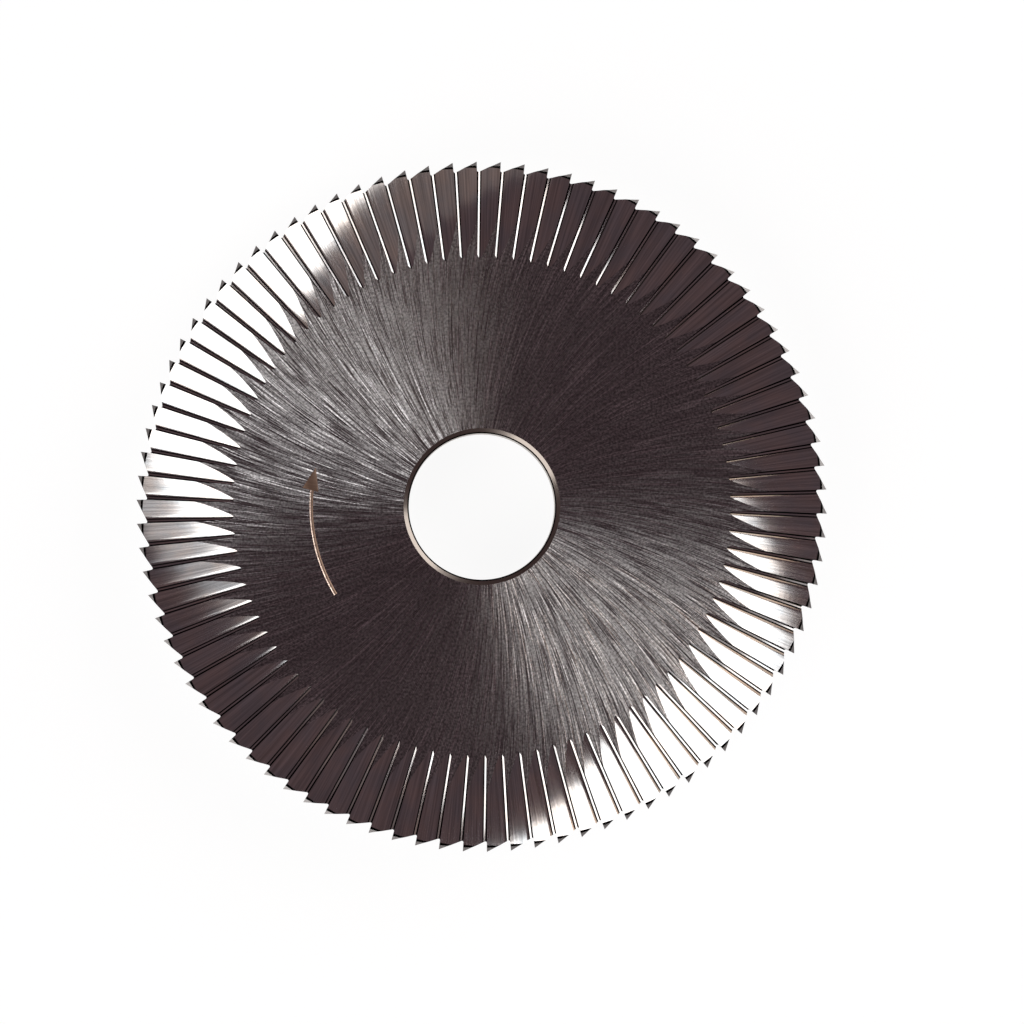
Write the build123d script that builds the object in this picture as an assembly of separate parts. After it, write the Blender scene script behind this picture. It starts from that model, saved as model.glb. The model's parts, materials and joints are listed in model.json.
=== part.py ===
from build123d import *
import os
from math import cos, radians, sin, tan

# A key cutting wheel: one disc of tool steel, ground all over, with a bore for the spindle.
# Millimetres. The axis is Z, the back face lies at Z 0 and the marked front face looks up.
# The wheel turns clockwise, seen from the front.

# Driving sizes of the blank
tip_radius = 30.0
thickness = 7.3
bore_radius = 6.35
bore_chamfer = 0.45
front_rim_radius = 29.34
steep_bevel_width = 0.22
steep_bevel_height = 1.3
tip_land_width = 0.8
back_cone_angle = 45.0

# Teeth on the rim
tooth_count = 90
pitch_angle = 360 / tooth_count
first_tip_angle = 2.85
gullet_radius = 29.0

# Side flutes. Each has an upright side, the rake of its tooth, a narrow floor, and a gentle side,
# the facet behind the tooth ahead. A front flute is turned a little from the radius, and its rake
# stands just behind the rake on the rim. A back rake stands just ahead of it.
facet_slope = 22.0
flute_clearance = 0.2
flute_overrun = 1.5
front_flute_turn = 1.6
front_rake_lag = 0.04
front_flute_depth = 0.81
front_floor_width = 0.41
grinding_wheel_radius = 35.3
grinding_arc_inwards = 15.0
grinding_arc_outwards = 4.0
back_rake_lead = 0.03
back_flute_depth = 0.88
back_flute_length = 6.3

# The arrow that shows the direction of turning, lightly engraved on the front face
arrow_depth = 0.05
arrow_radius = 14.8
arrow_line_width = 0.3
arrow_tail_angle = -149.0
arrow_head_base_angle = -185.5
arrow_point_angle = -193.3
arrow_outer_barb_radius = 15.7
arrow_inner_barb_radius = 14.25

# The bands of the rim, from the front down: steep bevel, tip bevel, land and back cone
tip_front_radius = front_rim_radius + steep_bevel_width
steep_bottom = thickness - steep_bevel_height
land_top = steep_bottom - (tip_radius - tip_front_radius)
land_bottom = land_top - tip_land_width
back_radius = tip_radius - land_bottom / tan(radians(back_cone_angle))


def on_circle(radius, angle):
    """The point at this radius and angle, in degrees, on the XY plane."""
    return (radius * cos(radians(angle)), radius * sin(radians(angle)))


def make_blank():
    """The turned disc: flat front and back, a bevelled rim, a back cone and a chamfered bore."""
    section = Polyline(
        (bore_radius + bore_chamfer, 0, 0),
        (back_radius, 0, 0),
        (tip_radius, 0, land_bottom),
        (tip_radius, 0, land_top),
        (tip_front_radius, 0, steep_bottom),
        (front_rim_radius, 0, thickness),
        (bore_radius + bore_chamfer, 0, thickness),
        (bore_radius, 0, thickness - bore_chamfer),
        (bore_radius, 0, bore_chamfer),
        close=True,
    )
    return revolve(make_face(section), axis=Axis.Z)


def make_rim_outline():
    """The saw-tooth outline: per tooth a straight relief that falls to the gullet, and a radial rake."""
    corners = []
    for tooth in range(tooth_count):
        tip_angle = first_tip_angle + tooth * pitch_angle
        corners.append(on_circle(tip_radius, tip_angle))
        corners.append(on_circle(gullet_radius, tip_angle + pitch_angle))
    return make_face(Polyline(corners, close=True))


def make_flute_profile(depth, floor_width):
    """The section of a flute in the YZ plane, with its floor this deep under Z 0 and its rake at Y 0."""
    height = depth + flute_clearance
    corners = [
        (0, 0),
        (0, height),
        (-floor_width - height / tan(radians(facet_slope)), height),
    ]
    if floor_width > 0:
        corners.append((-floor_width, 0))
    profile = make_face(Polyline(corners, close=True))
    return Plane(origin=(0, 0, -depth), x_dir=(0, 1, 0), z_dir=(1, 0, 0)) * profile


def make_round_flute_tool():
    """The space a front flute takes away, along +X. A dished wheel grinds it and runs out on the face."""
    wheel_axis = Axis((0, 0, grinding_wheel_radius - front_flute_depth), (0, 1, 0))
    swept = revolve(
        make_flute_profile(front_flute_depth, front_floor_width),
        axis=wheel_axis,
        revolution_arc=grinding_arc_inwards + grinding_arc_outwards,
    )
    return swept.rotate(wheel_axis, -grinding_arc_outwards)


def make_straight_flute_tool():
    """The space a back flute takes away, along +X: full depth at X 0, fading out at its length."""
    slope = back_flute_depth / back_flute_length
    start = Pos(-flute_overrun, 0, -flute_overrun * slope) * make_flute_profile(back_flute_depth, 0)
    return extrude(start, amount=back_flute_length + 2 * flute_overrun, dir=(1, 0, slope))


def repeat_flute(tool):
    """The tool once for each tooth, turned so that +X at Y 0 points to the tip of the tooth."""
    return [Rotation(0, 0, first_tip_angle + k * pitch_angle) * tool for k in range(tooth_count)]


def make_front_flutes():
    """One tool for each flute of the flat front side."""
    place = Pos(front_rim_radius, front_rake_lag, thickness) * Rotation(0, 0, -front_flute_turn)
    return repeat_flute(place * make_round_flute_tool())


def make_back_flutes():
    """One tool for each flute of the back cone, which fades out before the flat back face."""
    lay_on_cone = Pos(tip_radius, -back_rake_lead, land_bottom) * Rotation(0, 180 - back_cone_angle, 0)
    return repeat_flute(lay_on_cone * make_straight_flute_tool())


def make_arrow():
    """The engraved arrow: an arc with a head that points clockwise."""
    inner = arrow_radius - arrow_line_width / 2
    outer = arrow_radius + arrow_line_width / 2
    middle_angle = (arrow_tail_angle + arrow_head_base_angle) / 2
    outline = [
        Line(on_circle(inner, arrow_tail_angle), on_circle(outer, arrow_tail_angle)),
        ThreePointArc(
            on_circle(outer, arrow_tail_angle),
            on_circle(outer, middle_angle),
            on_circle(outer, arrow_head_base_angle),
        ),
        Line(
            on_circle(outer, arrow_head_base_angle),
            on_circle(arrow_outer_barb_radius, arrow_head_base_angle),
        ),
        Line(
            on_circle(arrow_outer_barb_radius, arrow_head_base_angle),
            on_circle(arrow_radius, arrow_point_angle),
        ),
        Line(
            on_circle(arrow_radius, arrow_point_angle),
            on_circle(arrow_inner_barb_radius, arrow_head_base_angle),
        ),
        Line(
            on_circle(arrow_inner_barb_radius, arrow_head_base_angle),
            on_circle(inner, arrow_head_base_angle),
        ),
        ThreePointArc(
            on_circle(inner, arrow_head_base_angle),
            on_circle(inner, middle_angle),
            on_circle(inner, arrow_tail_angle),
        ),
    ]
    face = make_face(Wire(outline))
    return Pos(0, 0, thickness - arrow_depth) * extrude(face, amount=arrow_depth * 2)


def make_cutting_wheel():
    """The whole wheel, in the order in which it is machined."""
    toothed = make_blank() & extrude(make_rim_outline(), amount=thickness)
    fluted = toothed - make_front_flutes()
    fluted = fluted - make_back_flutes()
    return fluted - make_arrow()


os.makedirs("parts", exist_ok=True)
cutting_wheel = make_cutting_wheel()
cutting_wheel.label = "cutting_wheel"
export_step(cutting_wheel, "parts/cutting_wheel.step")
print("cutting_wheel", round(cutting_wheel.volume, 1), "mm3")
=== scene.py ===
# %% [markdown]
# A key cutting wheel, made of one disc of tool steel. The real wheel is turned to a blank, its
# ninety teeth are milled and ground, and the flat front is ground last. This lesson follows the
# same order. It models one tooth with spins and cuts, repeats it ninety times, and then spends
# most of its care on the ground finishes, because steel looks like what it reflects.
#
# The part that was made in CAD is loaded first. It fixes the place and the size of everything.

# %% Load the frame
import json
from math import atan2, cos, pi, radians, sin, sqrt, tan

import bmesh
import bpy
from mathutils import Matrix, Vector


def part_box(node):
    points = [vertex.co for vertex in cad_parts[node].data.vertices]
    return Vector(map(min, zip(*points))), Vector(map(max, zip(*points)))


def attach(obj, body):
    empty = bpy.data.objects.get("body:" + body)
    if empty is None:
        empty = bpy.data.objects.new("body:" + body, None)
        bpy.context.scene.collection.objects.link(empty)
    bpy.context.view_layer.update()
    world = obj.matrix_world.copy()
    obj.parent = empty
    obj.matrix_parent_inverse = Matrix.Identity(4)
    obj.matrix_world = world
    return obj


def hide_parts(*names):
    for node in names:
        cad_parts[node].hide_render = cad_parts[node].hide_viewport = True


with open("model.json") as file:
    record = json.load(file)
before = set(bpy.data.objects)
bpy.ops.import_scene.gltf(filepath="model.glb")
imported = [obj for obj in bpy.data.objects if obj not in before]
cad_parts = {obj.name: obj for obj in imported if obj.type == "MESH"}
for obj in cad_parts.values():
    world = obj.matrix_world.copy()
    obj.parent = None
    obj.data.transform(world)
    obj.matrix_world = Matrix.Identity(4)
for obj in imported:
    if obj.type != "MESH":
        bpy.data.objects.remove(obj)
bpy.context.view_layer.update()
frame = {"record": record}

# %% [markdown]
# Sizes come from the frame where it has them: the thickness from the node's box, and the bore
# from the mount that a spindle fits. The others are this wheel's own proportions. The wheel is
# modelled in millimetres, as a maker would read them, and the mesh is scaled to metres at the
# end, so that the object itself stays unscaled.

# %% Sizes of the blank
MM = 0.001
wheel_low, wheel_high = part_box("cutting_wheel")
thickness = (wheel_high.z - wheel_low.z) / MM
spindle_bore = next(m for m in frame["record"]["mounts"] if m["name"] == "spindle_bore")
bore_radius = spindle_bore["dims"]["r_mm"]
bore_chamfer = (thickness - spindle_bore["dims"]["length_mm"]) / 2
tip_radius = 30.0
front_rim_radius = 29.34
steep_bevel_width = 0.28
steep_bevel_height = 1.3
tip_land_width = 0.8
print("thickness", round(thickness, 3), "bore radius", bore_radius, "chamfer", round(bore_chamfer, 3))

# %% [markdown]
# From the front down, the rim of the blank has four bands: a steep bevel, a bevel that ends at
# the tips, a narrow land, which is the widest part, and a cone of 45 degrees that ends at the
# flat seat. Each band only sets where the next one starts, so their heights are worked out from
# the sizes above. On the cone each millimetre down is a millimetre inwards.

# %% Heights of the bands on the rim
tip_front_radius = front_rim_radius + steep_bevel_width
steep_bottom = thickness - steep_bevel_height
land_top = steep_bottom - (tip_radius - tip_front_radius)
land_bottom = land_top - tip_land_width
back_radius = tip_radius - land_bottom
print("bands at", [round(z, 2) for z in (steep_bottom, land_top, land_bottom)])

# %% [markdown]
# A turned or ground surface is an outline moved through space: round an axis for a blank or a
# grinding wheel, straight ahead for a milled edge. Both are one operator, spin, which turns and
# shifts at each step. Each side of the outline is spun by itself, so that the faces it leaves
# can carry the name of their surface. The names travel through every later cut, and tell which
# finish a face gets and where an edge is crisp.

# %% Sweep an outline into a solid
SURFACES = (
    "front_web", "front_rake", "front_floor", "front_turn", "front_corner", "front_facet", "steep_bevel",
    "tip_bevel", "land", "back_cone", "back_face", "bore", "bore_break", "chamfer", "rim_relief", "rim_rake",
    "back_rake", "back_floor", "back_turn", "back_corner", "back_facet", "arrow", "arrow_edge", "inside",
)
same_point = 1e-5


def name_surfaces(bm, faces, surface_name):
    """Writes the number of a surface on these faces."""
    surface = bm.faces.layers.int["surface"]
    for face in faces:
        face[surface] = SURFACES.index(surface_name)


def sweep(name, sides, angle=0.0, centre=(0, 0, 0), axis=(0, 0, 1), shift=(0, 0, 0), steps=1):
    """A closed solid from the sides of an outline, each a surface name and its two ends."""
    bm = bmesh.new()
    bm.faces.layers.int.new("surface")
    for surface_name, start, end in sides:
        made = len(bm.faces)
        ends = [bm.verts.new(start), bm.verts.new(end)]
        side = bm.edges.new(ends)
        bmesh.ops.spin(bm, geom=ends + [side], cent=centre, axis=axis, dvec=shift, angle=angle, steps=steps,
                       use_merge=False, use_normal_flip=False, use_duplicate=False)
        bm.faces.ensure_lookup_table()
        name_surfaces(bm, bm.faces[made:], surface_name)
    bmesh.ops.remove_doubles(bm, verts=bm.verts, dist=same_point)
    made = len(bm.faces)
    bmesh.ops.holes_fill(bm, edges=[e for e in bm.edges if e.is_boundary], sides=0)
    bm.faces.ensure_lookup_table()
    name_surfaces(bm, bm.faces[made:], "inside")
    bmesh.ops.recalc_face_normals(bm, faces=bm.faces)
    print(name, len(bm.faces), "faces, closed:", all(e.is_manifold for e in bm.edges))
    return bm


def sides_of(corners, surface_names):
    """Pairs the corners of a closed outline, in order, with the surface that each side leaves."""
    return [(name, corners[k], corners[(k + 1) % len(corners)]) for k, name in enumerate(surface_names)]


# %% [markdown]
# The blank is a lathe job: its section is turned about the axis. The front edge of the bore is
# broken in two steps, a broad one that catches the light and a steep one below it that its finish
# paints dark, as shade. Only a slice a little wider than one tooth is turned here, because one good
# tooth can be repeated. It has an odd number of steps with a tooth in the middle of one, so that no
# edge of the slice falls in the plane of a tooth, where two surfaces that coincide would confuse a cut.

# %% Turn a slice of the blank
def upright(radius, height):
    """The point of a turned section at this radius and height."""
    return (radius, 0, height)


def turn_about_axis(bm, angle):
    """Turns a whole mesh about the axis of the wheel."""
    bmesh.ops.rotate(bm, verts=bm.verts, cent=(0, 0, 0), matrix=Matrix.Rotation(angle, 3, "Z"))


break_width, break_height = 0.12, 0.23
section = [
    upright(bore_radius + bore_chamfer, thickness), upright(front_rim_radius, thickness),
    upright(tip_front_radius, steep_bottom), upright(tip_radius, land_top),
    upright(tip_radius, land_bottom), upright(back_radius, 0),
    upright(bore_radius + bore_chamfer, 0), upright(bore_radius, bore_chamfer),
    upright(bore_radius, thickness - bore_chamfer),
    upright(bore_radius + break_width, thickness - bore_chamfer + break_height),
]
section_surfaces = ["front_web", "steep_bevel", "tip_bevel", "land", "back_cone", "back_face",
                    "chamfer", "bore", "bore_break", "chamfer"]
slice_steps = 5
slice_angle = radians(1) * slice_steps
blank = sweep("blank slice", sides_of(section, section_surfaces), slice_angle, steps=slice_steps)
turn_about_axis(blank, -slice_angle / 2)

# %% [markdown]
# Seen from the front, the rim is a row of saw teeth that point clockwise. Each has an upright
# rake on its leading side and a long relief that falls away behind it. On the real wheel a
# milling cutter makes the gullets one by one. Here an outline of three teeth is given a height,
# and the slice will keep only what lies inside it. The outline passes the slice by a hair at
# the tips and by far elsewhere, so that no two surfaces coincide.

# %% Make the saw-tooth rim
tooth_count = 90
pitch = 2 * pi / tooth_count
gullet_corner_radius = 29.0
tip_excess = 1e-4
overshoot = 1.0
inner_end = 2.0


def on_circle(radius, angle, height=0.0):
    """The point at this radius, angle and height."""
    return (radius * cos(angle), radius * sin(angle), height)


rim_corners = []
for tooth in (-1, 0, 1):
    rim_corners.append(on_circle(gullet_corner_radius, tooth * pitch, -overshoot))
    rim_corners.append(on_circle(tip_radius + tip_excess, tooth * pitch, -overshoot))
rim_corners.append(on_circle(inner_end, 1.5 * pitch, -overshoot))
rim_corners.append(on_circle(inner_end, -1.5 * pitch, -overshoot))
rim_surfaces = ["rim_rake", "rim_relief", "rim_rake", "rim_relief", "rim_rake", "inside", "inside", "inside"]
rim = sweep("rim outline", sides_of(rim_corners, rim_surfaces), shift=(0, 0, thickness + 2 * overshoot))

# %% [markdown]
# A milling cutter has no sharp edge, so the gullets are a little round at the bottom. A bevel
# with a few segments does that. It is given only the upright edges between a relief and the
# next rake, which are found by where they stand.

# %% Round the gullets
gullet_round = 0.2
gullet_segments = 5
nearby = 0.01


def is_gullet(edge):
    """Whether an edge stands upright where a relief meets the next rake."""
    low, high = edge.verts[0].co, edge.verts[1].co
    stands = abs(low.z - high.z) > overshoot
    at_corner = abs(low.xy.length - gullet_corner_radius) < nearby
    return stands and at_corner and atan2(low.y, low.x) > -pitch / 2


gullet_edges = [edge for edge in rim.edges if is_gullet(edge)]
bmesh.ops.bevel(rim, geom=gullet_edges, offset=gullet_round, offset_type="OFFSET", affect="EDGES",
                segments=gullet_segments, profile=0.5, material=-1)
print("gullets rounded:", len(gullet_edges))

# %% [markdown]
# The flutes on the front give the wheel its look. A dished grinding wheel cuts each one: its
# flat side leaves the steep rake, its blunt edge leaves a narrow floor, and its flank leaves the
# broad facet. The floor tilts the other way than the facet, so the two mirror opposite sides of
# the room. Between them the metal rolls over in two arcs, a tight one and a gentle one. An arc
# is drawn as a few short sides, because a flute that is repeated ninety times has to stay light.

# %% Roll from the floor to the facet
facet_slope = radians(22)
floor_tilt = radians(20)
turning_slope = radians(10)
tight_width, gentle_width = 0.12, 0.26
tight_steps, gentle_steps = 4, 3
tight_radius = tight_width / (sin(floor_tilt) + sin(turning_slope))
gentle_radius = gentle_width / (sin(facet_slope) - sin(turning_slope))


def arc(start, slope_from, slope_to, radius, steps):
    """Points that go on from start across a flute, while the slope of the metal rises evenly."""
    points = []
    for k in range(1, steps + 1):
        slope = slope_from + (slope_to - slope_from) * k / steps
        points.append((0, start[1] - radius * (sin(slope) - sin(slope_from)),
                       start[2] + radius * (cos(slope_from) - cos(slope))))
    return points


print("arcs of radius", round(tight_radius, 3), "and", round(gentle_radius, 3))

# %% [markdown]
# This is the section of a flute, seen along the flute. It starts above the face on the side of
# the rake, which leans back a little, goes down to the foot of the rake, over the floor and the
# two arcs, and up the facet to above the face again. The part above the face cuts only air.

# %% Draw the section of a flute
floor_width = 0.14
rake_lean = radians(14)
section_top = 0.35


def flute_section(depth, kind):
    """The sides of a flute's section, with its lowest line this deep under the face."""
    floor_end = tight_radius * (1 - cos(floor_tilt)) - depth
    foot = floor_end + floor_width * sin(floor_tilt)
    corners = [(0, section_top * tan(rake_lean), section_top), (0, foot * tan(rake_lean), foot),
               (0, foot * tan(rake_lean) - floor_width * cos(floor_tilt), floor_end)]
    corners += arc(corners[-1], -floor_tilt, turning_slope, tight_radius, tight_steps)
    corners += arc(corners[-1], turning_slope, facet_slope, gentle_radius, gentle_steps)
    rise = section_top - corners[-1][2]
    corners.append((0, corners[-1][1] - rise / tan(facet_slope), section_top))
    names = [kind + "_rake", kind + "_floor"]
    names += [kind + "_turn"] * tight_steps + [kind + "_corner"] * gentle_steps
    names += [kind + "_facet", "inside"]
    return sides_of(corners, names)


print("a flute's section has", len(flute_section(depth=1.0, kind="front")), "sides")

# %% [markdown]
# The grinding wheel is round, so the flute gets shallower inwards and runs out on the face in a
# pointed lancet. Spinning the section about the grinding wheel's own axle makes just that shape,
# which would be hard to draw by hand. The flute is turned a little from the radius, as the photo
# shows: its rake starts at the tip and falls back as it goes in.

# %% Grind the space of a front flute
front_flute_depth = 0.78
front_flute_turn = radians(1.6)
front_rake_lag = 0.03
grinding_wheel_radius = 39.5
arc_inwards, arc_outwards = radians(13.2), radians(3.2)
arc_steps = 24


def moved(sides, matrix):
    """The same sides, moved by a matrix."""
    return [(name, matrix @ Vector(start), matrix @ Vector(end)) for name, start, end in sides]


axle = Vector((0, 0, grinding_wheel_radius - front_flute_depth))
roll_out = Matrix.Translation(axle) @ Matrix.Rotation(-arc_outwards, 4, "Y") @ Matrix.Translation(-axle)
front_sides = moved(flute_section(front_flute_depth, "front"), roll_out)
front_flute = sweep("front flute", front_sides, arc_inwards + arc_outwards, centre=axle, axis=(0, 1, 0),
                    steps=arc_steps)
front_turn = Matrix.Rotation(-front_flute_turn, 4, "Z")
front_place = Matrix.Translation((front_rim_radius, front_rake_lag, thickness)) @ front_turn
bmesh.ops.transform(front_flute, matrix=front_place, verts=front_flute.verts)

# %% [markdown]
# The back isn't seen in the photo. On wheels of this kind its 45 degree cone has flutes of its
# own, cut straight, and they fade out before the flat seat. The same section is pushed along a
# line here instead of round an axle, which is what spin does when its angle is nought. Over the
# flute's length the line rises by the depth that the flute would have with a sharp corner.

# %% Grind the space of a back flute
back_cone_degrees = 45
back_flute_depth = 0.71
back_corner_fill = 0.17
back_rake_lead = 0.03
back_flute_length = 6.3
back_overrun = 1.5
back_slope = (back_flute_depth + back_corner_fill) / back_flute_length
back_start = Matrix.Translation((-back_overrun, 0, -back_overrun * back_slope))
back_run = back_flute_length + 2 * back_overrun
back_flute = sweep("back flute", moved(flute_section(back_flute_depth, "back"), back_start),
                   shift=(back_run, 0, back_run * back_slope))
onto_cone = Matrix.Rotation(radians(180 - back_cone_degrees), 4, "Y")
back_place = Matrix.Translation((tip_radius, -back_rake_lead, land_bottom)) @ onto_cone
bmesh.ops.transform(back_flute, matrix=back_place, verts=back_flute.verts)

# %% [markdown]
# Boolean modifiers take the flutes away from the slice, as the grinding did. Their result is
# read from the evaluated object, so no modifier has to be applied by hand, and the helper
# objects go away at once. A slice of one tooth also meets the flutes of the next tooth, so both
# are cut.

# %% Cut one tooth
def workshop_object(name, bm):
    """A helper object for a cut, which is thrown away afterwards."""
    mesh = bpy.data.meshes.new(name)
    bm.to_mesh(mesh)
    helper = bpy.data.objects.new(name, mesh)
    bpy.context.scene.collection.objects.link(helper)
    return helper


def cut(work, tool, operation="DIFFERENCE"):
    """Takes the tool's space away from the work, or keeps only what is inside it."""
    work_object = workshop_object("work", work)
    tool_object = workshop_object("tool", tool)
    modifier = work_object.modifiers.new("cut", "BOOLEAN")
    modifier.operation = operation
    modifier.solver = "MANIFOLD"
    modifier.object = tool_object
    after_cut = work_object.evaluated_get(bpy.context.evaluated_depsgraph_get())
    result = bmesh.new()
    result.from_mesh(after_cut.to_mesh())
    for helper in (work_object, tool_object):
        bpy.data.meshes.remove(helper.data)
    return result


tooth = cut(blank, rim, "INTERSECT")
for neighbour in (0, 1):
    for flute in (front_flute, back_flute):
        tool = flute.copy()
        turn_about_axis(tool, neighbour * pitch)
        tooth = cut(tooth, tool)
print("one tooth", len(tooth.faces), "faces")

# %% [markdown]
# Two planes through the axis, half a pitch each side of the tip, trim the slice to exactly one
# pitch. Then spin copies it round the axis, and merging the doubles closes the seams. That
# makes all ninety teeth alike, as a dividing head does on the real machine. The normals are
# recalculated after the merge, when the wheel is one closed skin.

# %% Trim the tooth and repeat it
first_tip = radians(2.85)
seam_gap = 2e-4


def whole(bm):
    """Everything in a mesh."""
    return bm.verts[:] + bm.edges[:] + bm.faces[:]


for side in (-1, 1):
    edge_angle = side * pitch / 2
    normal = Vector((-sin(edge_angle), cos(edge_angle), 0)) * side
    bmesh.ops.bisect_plane(tooth, geom=whole(tooth), dist=same_point, plane_co=(0, 0, 0), plane_no=normal,
                           clear_outer=True)
turn_about_axis(tooth, first_tip)
wheel = tooth
bmesh.ops.spin(wheel, geom=whole(wheel), cent=(0, 0, 0), axis=(0, 0, 1), angle=pitch * (tooth_count - 1),
               steps=tooth_count - 1, use_duplicate=True, use_merge=False, use_normal_flip=False)
bmesh.ops.remove_doubles(wheel, verts=wheel.verts, dist=seam_gap)
bmesh.ops.recalc_face_normals(wheel, faces=wheel.faces)
print("wheel", len(wheel.faces), "faces, closed:", all(e.is_manifold for e in wheel.edges))

# %% [markdown]
# The arrow on the front shows which way the wheel turns. It is a shallow groove with a narrow
# bottom and sloping sides. Its shaft is a small section spun about the wheel's axis. The slope
# goes on a little above the face, so that the groove has its full width where it meets it. The
# outer side of the shaft is a surface of its own, because that edge glints, and its finish paints
# the glint in as a light colour.

# %% Sweep the shaft of the arrow
arrow_depth = 0.05
arrow_radius = 14.8
arrow_tail = radians(-149.0)
arrow_neck = radians(-185.5)
shaft_width, shaft_floor = 0.3, 0.12
shaft_steps = 36
clear = 0.02


def groove_corner(offset, height):
    """A corner of the groove's section at the tail of the arrow."""
    return on_circle(arrow_radius + offset, arrow_tail, thickness + height)


slope_out = (shaft_width - shaft_floor) / 2 * clear / arrow_depth
groove = [groove_corner(-shaft_width / 2 - slope_out, clear), groove_corner(-shaft_floor / 2, -arrow_depth),
          groove_corner(shaft_floor / 2, -arrow_depth), groove_corner(shaft_width / 2 + slope_out, clear)]
groove_sides = sides_of(groove, ["arrow", "arrow", "arrow_edge", "arrow"])
shaft = sweep("arrow shaft", groove_sides, arrow_neck - arrow_tail, steps=shaft_steps)

# %% [markdown]
# The head is a cone of three sides: wide at the top and a little narrower at the bottom of the
# groove. With a radius of one it is one and a half long and the root of three wide, so it is
# scaled to the length and width of this head, and then set down on the end of the shaft.

# %% Press the head and engrave the arrow
arrow_point = radians(-193.3)
head_width = 1.45
head_outset = 0.15
head_slope = 0.2
triangle_length, triangle_width = 1.5, sqrt(3)
head = bmesh.new()
head.faces.layers.int.new("surface")
bmesh.ops.create_cone(head, cap_ends=True, segments=3, radius1=1.0 - head_slope,
                      radius2=1.0 + head_slope * clear / arrow_depth, depth=arrow_depth + clear)
name_surfaces(head, head.faces, "arrow")
head_length = 2 * arrow_radius * sin((arrow_neck - arrow_point) / 2)
apex = max(head.verts, key=lambda v: v.co.xy.length).co.xy
turn_about_axis(head, -atan2(apex.y, apex.x))
bmesh.ops.scale(head, verts=head.verts, vec=(head_length / triangle_length, head_width / triangle_width, 1))
neck = Vector(on_circle(arrow_radius + head_outset, arrow_neck))
point = Vector(on_circle(arrow_radius, arrow_point))
ahead = point - neck
head_middle = neck + ahead / 3 + Vector((0, 0, thickness + (clear - arrow_depth) / 2))
head_place = Matrix.Translation(head_middle) @ Matrix.Rotation(atan2(ahead.y, ahead.x), 4, "Z")
bmesh.ops.transform(head, verts=head.verts, matrix=head_place)
for tool in (shaft, head):
    wheel = cut(wheel, tool)
print("wheel with arrow", len(wheel.faces), "faces")

# %% [markdown]
# Shading follows the surfaces. Within one surface the faces are smooth, and where two surfaces
# meet the edge is sharp, as grinding leaves it. The floor, the arcs and the facet of a flute
# count as one surface here, so that the highlight rolls over from one to the next.

# %% Mark the crisp edges
surface = wheel.faces.layers.int["surface"]
for face in wheel.faces:
    face.smooth = True
rolling = {"corner": "facet", "turn": "facet", "floor": "facet"}
widest_roll = radians(30)
crisp = 0
for edge in wheel.edges:
    kinds = set()
    for face in edge.link_faces:
        side, _, part = SURFACES[face[surface]].partition("_")
        kinds.add((side, rolling.get(part, part)))
    edge.smooth = len(kinds) == 1 and edge.calc_face_angle(0) < widest_roll
    crisp += not edge.smooth
print("crisp edges", crisp)

# %% [markdown]
# Each surface gets the finish that its machining left, and a finish is a material slot. The
# slots are in the order of this list, and their materials are made further on. Then the mesh is
# scaled to metres and made an object, which takes the CAD node's place in the picture and rides
# on its body.

# %% Share out the finishes and make the wheel
SURFACES_BY_FINISH = {
    "ground_web": ["front_web"],
    "bright_flutes": ["front_floor", "front_corner", "front_facet",
                      "back_rake", "back_floor", "back_turn", "back_corner", "back_facet"],
    "milled_rim": ["land", "back_cone", "rim_relief", "rim_rake", "inside"],
    "ground_seat": ["back_face"],
    "turned_bore": ["bore", "chamfer"],
    "etched_arrow": ["arrow"],
    # The rakes, the tight turns, the steep bevel and the bore break get painted shade: a nearly black
    # finish.
    "steep_sides_painted_shade": ["front_rake", "front_turn", "steep_bevel", "bore_break"],
    "tip_edges": ["tip_bevel"],
    "arrow_edge_painted_glint": ["arrow_edge"],
}
slot_of = {}
for slot_number, finished_surfaces in enumerate(SURFACES_BY_FINISH.values()):
    for surface_name in finished_surfaces:
        slot_of[surface_name] = slot_number
for face in wheel.faces:
    face.material_index = slot_of[SURFACES[face[surface]]]
bmesh.ops.scale(wheel, verts=wheel.verts, vec=(MM, MM, MM))
wheel_mesh = bpy.data.meshes.new("ground_cutting_wheel")
wheel.to_mesh(wheel_mesh)
cutting_wheel = bpy.data.objects.new("ground_cutting_wheel", wheel_mesh)
bpy.context.scene.collection.objects.link(cutting_wheel)
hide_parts("cutting_wheel")
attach(cutting_wheel, "root")
wheel_mesh.calc_loop_triangles()
print("triangles", len(wheel_mesh.loop_triangles))

# %% [markdown]
# Every finish on the wheel is bare steel, so each is a metallic Principled shader. What differs
# is the grinding: which way the fine lines run, how deep they are and how much the surface
# blurs what it reflects. A few helpers keep the node trees short: one adds a node and wires it,
# one does sums, one spreads a value over a range, and two mix numbers or colours.

# %% Helpers for node trees
def wire(tree, kind, inputs=(), **settings):
    """Adds a node. Inputs are (socket, value) pairs, and a value that is a socket is linked."""
    node = tree.nodes.new(kind)
    for name, value in settings.items():
        setattr(node, name, value)
    for socket, value in inputs:
        if isinstance(value, bpy.types.NodeSocket):
            tree.links.new(value, node.inputs[socket])
        else:
            node.inputs[socket].default_value = value
    return node


def sums(tree, operation, *values, vector=False):
    """A Math node, or a Vector Math node, and the socket with its result."""
    kind = "ShaderNodeVectorMath" if vector else "ShaderNodeMath"
    inputs = list(enumerate(values))
    if operation == "SCALE":
        inputs = [(0, values[0]), ("Scale", values[1])]
    node = wire(tree, kind, inputs, operation=operation)
    gives_number = not vector or operation == "LENGTH"
    return node.outputs["Value" if gives_number else "Vector"]


def ramp(tree, value, span, result):
    """Spreads the part of a value that lies in the span over the range of the result."""
    node = wire(tree, "ShaderNodeMapRange", [("Value", value), ("From Min", span[0]), ("From Max", span[1]),
                                             ("To Min", result[0]), ("To Max", result[1])])
    return node.outputs["Result"]


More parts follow.
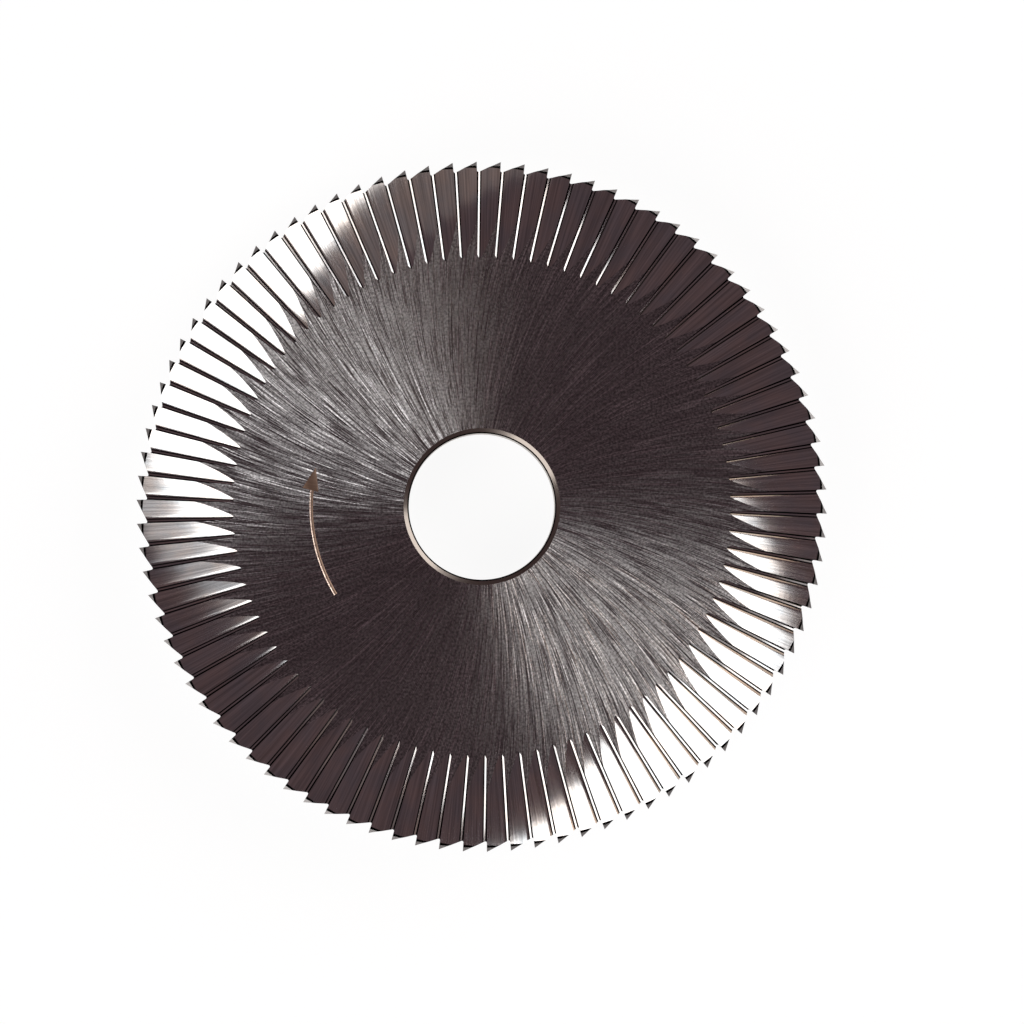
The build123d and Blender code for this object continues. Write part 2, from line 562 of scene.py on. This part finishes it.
def mix_numbers(tree, share, first, second):
    """Goes from the first number to the second. A Mix node keeps its numbers in sockets 2 and 3."""
    return wire(tree, "ShaderNodeMix", [("Factor", share), (2, first), (3, second)]).outputs[0]


def mix_colours(tree, share, first, second, way="MIX"):
    """Mixes or multiplies two colours. A Mix node keeps its colours in sockets 6 and 7."""
    node = wire(tree, "ShaderNodeMix", [("Factor", share), (6, first), (7, second)],
                data_type="RGBA", blend_type=way)
    return node.outputs[2]


# %% [markdown]
# The lines left by grinding run outwards from the bore, so the pattern needs the polar place of
# a point: its radius and its angle. They are worked out from Object coordinates, in millimetres.
# An angle jumps where it passes a full turn, and its sine and cosine don't, so the noise is
# read on a big circle. Adding a little of the radius to the angle makes the lines lean.

# %% Lines that run outwards
def polar_place(tree):
    """Sockets for the flat position, the radius and the angle of a point, in millimetres."""
    place = wire(tree, "ShaderNodeTexCoord").outputs["Object"]
    flat = sums(tree, "MULTIPLY", place, (1 / MM, 1 / MM, 0), vector=True)
    parts = wire(tree, "ShaderNodeSeparateXYZ", [(0, flat)])
    radius = sums(tree, "LENGTH", flat, vector=True)
    angle = sums(tree, "ARCTAN2", parts.outputs["Y"], parts.outputs["X"])
    return flat, radius, angle


def radial_lines(tree, radius, angle, lean, fineness, length, detail=3.0, seed=0.0):
    """Noise drawn out into lines that run outwards, this fine round the wheel and this long in mm."""
    turned = sums(tree, "ADD", angle, sums(tree, "MULTIPLY", radius, lean))
    across = sums(tree, "MULTIPLY", sums(tree, "COSINE", turned), fineness)
    upward = sums(tree, "MULTIPLY", sums(tree, "SINE", turned), fineness)
    along = sums(tree, "ADD", sums(tree, "DIVIDE", radius, length), seed)
    where = wire(tree, "ShaderNodeCombineXYZ", [("X", across), ("Y", upward), ("Z", along)])
    noise = wire(tree, "ShaderNodeTexNoise",
                 [("Vector", where.outputs[0]), ("Scale", 1.0), ("Detail", detail), ("Roughness", 0.6)])
    return noise.outputs[0]


def round_tangent(tree, flat, lean):
    """The direction across the grinding lines, in which they spread a highlight. The lean may vary."""
    outward = sums(tree, "NORMALIZE", flat, vector=True)
    round_axis = sums(tree, "CROSS_PRODUCT", (0, 0, 1), outward, vector=True)
    return sums(tree, "ADD", round_axis, sums(tree, "SCALE", outward, lean, vector=True), vector=True)


# %% [markdown]
# Ground steel doesn't blur a reflection evenly. Each fine line spreads the light across itself
# and hardly along itself. The Anisotropic value of the shader does this, and its Tangent input
# says in which direction the highlight spreads. A shade multiplies the colour, so one noise can
# dim some lines and lift others.

# %% Bare steel
def new_finish(name):
    """Makes a material, and gives its empty node tree."""
    finish = bpy.data.materials.new(name)
    finish.use_nodes = True
    finish.node_tree.nodes.clear()
    return finish.node_tree


def steel(tree, colour, roughness, line_spread, tangent, normal=None, shade=None):
    """Bare steel: a metallic shader, with its colour dimmed or lifted by the shade."""
    if not isinstance(colour, bpy.types.NodeSocket):
        colour = (*colour, 1)
    shader = wire(tree, "ShaderNodeBsdfPrincipled", [
        ("Base Color", colour), ("Metallic", 1.0), ("Anisotropic", line_spread), ("Roughness", roughness),
        ("Tangent", tangent)])
    if normal:
        tree.links.new(normal, shader.inputs["Normal"])
    if shade:
        tinted = mix_colours(tree, 1.0, colour, shade, "MULTIPLY")
        tree.links.new(tinted, shader.inputs["Base Color"])
    wire(tree, "ShaderNodeOutputMaterial", [("Surface", shader.outputs[0])])
    return shader


# %% [markdown]
# The flat web is ground last, with the wheel turning slowly under a cup wheel. That leaves long
# fine scratches, a little off the radius, which are as wide near the bore as they are at the
# rim. Noise that is read by angle alone would grow wider outwards. So each of a few rings has
# noise of its own fineness, and between two rings the one fades over into the other.

# %% Scratches of one width at every radius
RINGS = (7.5, 10.5, 14.7, 20.5, 29.0)
RING_SEED = 13
print("rings of scratches at", RINGS)


def even_lines(tree, radius, angle, lean, width, length, detail=1.0, seed=0.0):
    """Radial lines that keep this width in mm at every radius."""
    total = radial_lines(tree, radius, angle, lean, RINGS[0] / width, length, detail, seed)
    for number, (inner, outer) in enumerate(zip(RINGS, RINGS[1:]), start=1):
        ring_seed = seed + RING_SEED * number
        lines = radial_lines(tree, radius, angle, lean, outer / width, length, detail, ring_seed)
        share = ramp(tree, radius, (inner, outer), (0.0, 1.0))
        total = mix_numbers(tree, share, total, lines)
    return total


# %% [markdown]
# Two bright fans lie across the real web, and they are made of single scratches. The spread
# across the lines draws the fans. The scratches come from what the noise does to the steel:
# fine lines and a few deep ones tilt it a little sideways, and so catch a lamp or miss it, the
# smoothest lines blur less, the deep ones are brighter, and small specks break the lines up. A
# bump would do the tilting too, but tilting the normal across the lines keeps them clean.

# %% What the scratches do to the web
def off_middle(tree, lines, amount):
    """Noise lies round a half. This brings it round nought and scales it."""
    return sums(tree, "MULTIPLY", sums(tree, "SUBTRACT", lines, 0.5), amount)


def web_shade(tree, flat, fine, deep):
    """How bright the web is: fine lines and specks go both ways, and deep lines are brighter."""
    specks = wire(tree, "ShaderNodeTexNoise", [("Vector", flat), ("Scale", 5.0), ("Detail", 1.0)]).outputs[0]
    shade_of_lines = ramp(tree, fine, (0.38, 0.62), (0.85, 1.15))
    shade_of_specks = ramp(tree, specks, (0.35, 0.65), (0.6, 1.35))
    both = sums(tree, "MULTIPLY", shade_of_lines, shade_of_specks)
    return sums(tree, "MULTIPLY", both, ramp(tree, deep, (0.0, 1.0), (0.95, 1.5)))


def web_roughness(tree, fine, deep, smooth):
    """How much the web blurs: less in deep lines, and least in smooth ones."""
    blur = sums(tree, "SUBTRACT", ramp(tree, fine, (0.40, 0.60), (0.22, 0.46)),
                sums(tree, "MULTIPLY", deep, 0.12))
    return sums(tree, "MULTIPLY", blur, sums(tree, "SUBTRACT", 1.0, sums(tree, "MULTIPLY", smooth, 0.4)))


def web_normal(tree, across, fine, deep):
    """The way the steel faces, tilted across the lines."""
    tilt = sums(tree, "ADD", off_middle(tree, fine, 0.6), sums(tree, "MULTIPLY", deep, 0.2))
    level = wire(tree, "ShaderNodeNewGeometry").outputs["Normal"]
    tilted = sums(tree, "ADD", level, sums(tree, "SCALE", across, tilt, vector=True), vector=True)
    return sums(tree, "NORMALIZE", tilted, vector=True)


# %% [markdown]
# The web's finish puts these together. The flat seat on the back is ground in the same way, so
# it gets the same finish under a name of its own.

# %% Finish of the web and the seat
WEB_STEEL = (0.43, 0.42, 0.42)
WEB_LEAN = 0.0083
LONG_LEAN = WEB_LEAN * 1.1
WEB_SPREAD = 0.92
FINE_SWAY = 0.5


def web_finish(name):
    """Ground flat steel with scratches that run outwards."""
    tree = new_finish(name)
    flat, radius, angle = polar_place(tree)
    fine = even_lines(tree, radius, angle, WEB_LEAN, width=0.075, length=3.0)
    long_lines = even_lines(tree, radius, angle, LONG_LEAN, width=0.095, length=9.0, detail=0.0, seed=71.0)
    deep = ramp(tree, long_lines, (0.58, 0.63), (0.0, 1.0))
    smooth = ramp(tree, long_lines, (0.42, 0.35), (0.0, 1.0))
    lean = sums(tree, "ADD", sums(tree, "MULTIPLY", radius, WEB_LEAN), off_middle(tree, fine, FINE_SWAY))
    across = round_tangent(tree, flat, lean)
    steel(tree, WEB_STEEL, web_roughness(tree, fine, deep, smooth), WEB_SPREAD, across,
          web_normal(tree, across, fine, deep), web_shade(tree, flat, fine, deep))
    print(name, len(tree.nodes), "nodes")


web_finish("ground_web")
web_finish("ground_seat")

# %% [markdown]
# The flutes are ground much finer and act almost as mirrors: a facet is white where it looks at
# a lamp and nearly black where it looks at the dark room. Their lines run along the flute. Soft
# patches of a second tint, one warm and one cool, keep ninety flutes from looking all alike. The
# milled rim is the same but duller. So is the arrow, which is darker and browner. Its outer edge
# has a painted glint: a light colour with strong streaks.

# %% Finish of the flutes, the rim and the arrow
FLUTE_SPREAD = 0.5


def flute_finish(name, colour, roughness, streaks=0.12, other_colour=None):
    """Finely ground steel with faint lines along the flute, and a second tint in soft patches."""
    tree = new_finish(name)
    flat, radius, angle = polar_place(tree)
    lines = radial_lines(tree, radius, angle, 0.0, fineness=160, length=9.0)
    shade = ramp(tree, lines, (0.3, 0.7), (1 - streaks, 1 + streaks))
    if other_colour:
        patches = radial_lines(tree, radius, angle, 0.0, fineness=14, length=3.5, seed=5.0)
        share = ramp(tree, patches, (0.35, 0.65), (0.0, 1.0))
        colour = mix_colours(tree, share, (*colour, 1), (*other_colour, 1))
    steel(tree, colour, roughness, FLUTE_SPREAD, round_tangent(tree, flat, 0.0), shade=shade)
    print(name, len(tree.nodes), "nodes")


flute_finish("bright_flutes", (0.76, 0.69, 0.64), 0.13, streaks=0.3, other_colour=(0.62, 0.64, 0.65))
flute_finish("milled_rim", (0.46, 0.43, 0.42), 0.26)
flute_finish("etched_arrow", (0.34, 0.23, 0.17), 0.42)
# Painted glint: the outer edge of the arrow gets a light colour in place of the glint it catches.
flute_finish("arrow_edge_painted_glint", (0.80, 0.62, 0.52), 0.42, streaks=0.6)

# %% [markdown]
# The bore and the bevels are turned, so their lines run round the axis and spread a highlight up
# and down. The steep sides of the flutes, their tight corners and the steep bands look nearly
# black from above, because they look past the lamps. That shade is painted into their finish: an
# almost black colour, and a dark Specular Tint as well, because even dark metal turns bright at a
# grazing angle, which would undo the painted shade in a side view. The bevel at the tips is dull
# and greyish.

# %% Finish of the bore and the bevels
def band_finish(name, colour, roughness, line_spread, grazing_tint=(1, 1, 1)):
    """Turned steel whose fine lines run round the axis, so that highlights spread up and down."""
    tree = new_finish(name)
    tangent = wire(tree, "ShaderNodeCombineXYZ", [("Z", 1.0)]).outputs[0]
    shader = steel(tree, colour, roughness, line_spread, tangent)
    shader.inputs["Specular Tint"].default_value = (*grazing_tint, 1)
    print(name, len(tree.nodes), "nodes")


band_finish("turned_bore", (0.38, 0.33, 0.29), 0.28, 0.6)
# Painted shade: an almost black colour and a black Specular Tint keep these steep sides dark from every
# side.
band_finish("steep_sides_painted_shade", (0.03, 0.027, 0.027), 0.25, 0.0, grazing_tint=(0.01, 0.01, 0.01))
band_finish("tip_edges", (0.42, 0.40, 0.39), 0.4, 0.9)
for finish_name in SURFACES_BY_FINISH:
    wheel_mesh.materials.append(bpy.data.materials[finish_name])
print("finishes on the wheel:", len(wheel_mesh.materials))

# %% [markdown]
# The floor is plain and pale. Its own colour is a quiet grey, so that it throws little light back
# on the steel. For the camera and for reflections it also glows, so that the background is white
# while the wheel's shadow stays. Light Path tells the shader which kind of ray it answers.

# %% Lay the floor
floor_reach = 3.0
floor_gap = 1e-5
floor_grey = 0.15
floor_glow = 0.92
floor_bm = bmesh.new()
bmesh.ops.create_grid(floor_bm, x_segments=1, y_segments=1, size=floor_reach)
bmesh.ops.translate(floor_bm, verts=floor_bm.verts, vec=(0, 0, wheel_low.z - floor_gap))
floor_mesh = bpy.data.meshes.new("floor")
floor_bm.to_mesh(floor_mesh)
floor = bpy.data.objects.new("floor", floor_mesh)
bpy.context.scene.collection.objects.link(floor)
tree = new_finish("pale_floor")
diffuse = wire(tree, "ShaderNodeBsdfDiffuse", [("Color", (floor_grey, floor_grey, floor_grey, 1))])
rays = wire(tree, "ShaderNodeLightPath").outputs
mirrored = sums(tree, "MAXIMUM", rays["Is Glossy Ray"], rays["Is Transmission Ray"])
seen = sums(tree, "MAXIMUM", rays["Is Camera Ray"], mirrored)
glow = wire(tree, "ShaderNodeEmission", [("Strength", sums(tree, "MULTIPLY", seen, floor_glow))])
both = wire(tree, "ShaderNodeAddShader", [(0, diffuse.outputs[0]), (1, glow.outputs[0])])
wire(tree, "ShaderNodeOutputMaterial", [("Surface", both.outputs[0])])
floor_mesh.materials.append(bpy.data.materials["pale_floor"])
print("floor at", round(wheel_low.z - floor_gap, 6))

# %% [markdown]
# Steel shows whatever stands round it, so the places and sizes of the lamps decide which facets
# are bright. A lamp is placed by its azimuth, clockwise from the top of the photo, and by how
# far it stands off the vertical. What counts is how bright it looks from the wheel, so its
# power is worked out from that and from its area, and a wider lamp doesn't look brighter.

# %% Build a soft lamp
lamp_distance = 0.6


def softbox(name, azimuth, zenith, left, right, height, radiance, colour=(1, 1, 1)):
    """A lamp that faces the wheel and reaches this far to each side of its azimuth, seen from the wheel."""
    lamp = bpy.data.lights.new(name, "AREA")
    lamp.shape = "RECTANGLE"
    lamp.size, lamp.size_y = left + right, height
    lamp.energy = radiance * pi * lamp.size * lamp.size_y
    lamp.color = colour
    stand = bpy.data.objects.new(name, lamp)
    way = Vector((sin(zenith) * sin(azimuth), sin(zenith) * cos(azimuth), cos(zenith)))
    sideways = Vector((cos(azimuth), -sin(azimuth), 0))
    turn = way.to_track_quat("Z", "Y").to_matrix().to_4x4()
    stand.matrix_world = Matrix.Translation(way * lamp_distance + sideways * (right - left) / 2) @ turn
    bpy.context.scene.collection.objects.link(stand)
    print(name, round(lamp.energy, 2), "W")


# %% [markdown]
# Two large soft lamps stand at opposite sides, high up, and the camera looks down between them.
# Each goes on in a dimmer lamp at one end, so that the row of bright flutes fades out there and
# doesn't stop short. A small warm lamp, higher up on the right, draws a warm line beside the
# floors of the lower right flutes and lifts the fans of the web a little. A faint glow keeps the
# flutes at the top left from going quite dark. The rest of the room is dim and a little red,
# which is the colour that the dark facets show.

# %% Hang the lamps
right_azimuth, right_zenith = radians(73), radians(59)
right_height = 0.514
right_seam = 0.41
left_azimuth, left_zenith = radians(226), radians(53)
left_height = 0.57
left_seam = 0.24
bright, dimmer = 2.2, 0.45
softbox("right_softbox", right_azimuth, right_zenith, right_seam, 0.125, right_height, bright)
softbox("right_softbox_end", right_azimuth, right_zenith, 0.66, -right_seam, right_height, dimmer)
softbox("right_warm_edge", radians(62), radians(28.5), left=0.14, right=0.14, height=0.13, radiance=0.8,
        colour=(1.0, 0.80, 0.62))
softbox("left_softbox", left_azimuth, left_zenith, left_seam, 0.23, left_height, bright)
softbox("left_softbox_end", left_azimuth, left_zenith, 0.36, -left_seam, left_height, dimmer)
softbox("left_glow", radians(264), radians(33), left=0.12, right=0.15, height=0.35, radiance=0.09,
        colour=(1.0, 0.9, 0.82))
world = bpy.data.worlds.new("dim_room")
bpy.context.scene.world = world
world.use_nodes = True
world.node_tree.nodes["Background"].inputs["Color"].default_value = (0.082, 0.056, 0.062, 1)

# %% [markdown]
# The photo was taken from straight above with a long lens, a shade from the lower left. The
# wheel isn't quite in the middle of it, so the camera aims a little beside the axis. The width
# of the field at the front face sets the focal length.

# %% Set the camera
camera_height = 0.9
camera_offset = -8.9
aim_right, aim_up = 2.607, -0.48
field_width = 0.08881
sensor_width = 36.0
camera_data = bpy.data.cameras.new("camera")
camera = bpy.data.objects.new("camera", camera_data)
bpy.context.scene.collection.objects.link(camera)
bpy.context.scene.camera = camera
camera_data.sensor_width = sensor_width
camera_data.lens = sensor_width * camera_height / field_width
camera_data.clip_start, camera_data.clip_end = 0.01, 20.0
aim = Vector((aim_right * MM, aim_up * MM, thickness * MM))
camera_way = Vector((camera_offset * MM, camera_offset * MM, camera_height))
back = camera_way.normalized()
right = Vector((0, 1, 0)).cross(back).normalized()
up = back.cross(right)
facing = Matrix((right, up, back)).transposed().to_4x4()
camera.matrix_world = Matrix.Translation(aim + camera_way) @ facing
bpy.context.scene.view_settings.view_transform = "Standard"
print("focal length", round(camera_data.lens, 1), "mm")
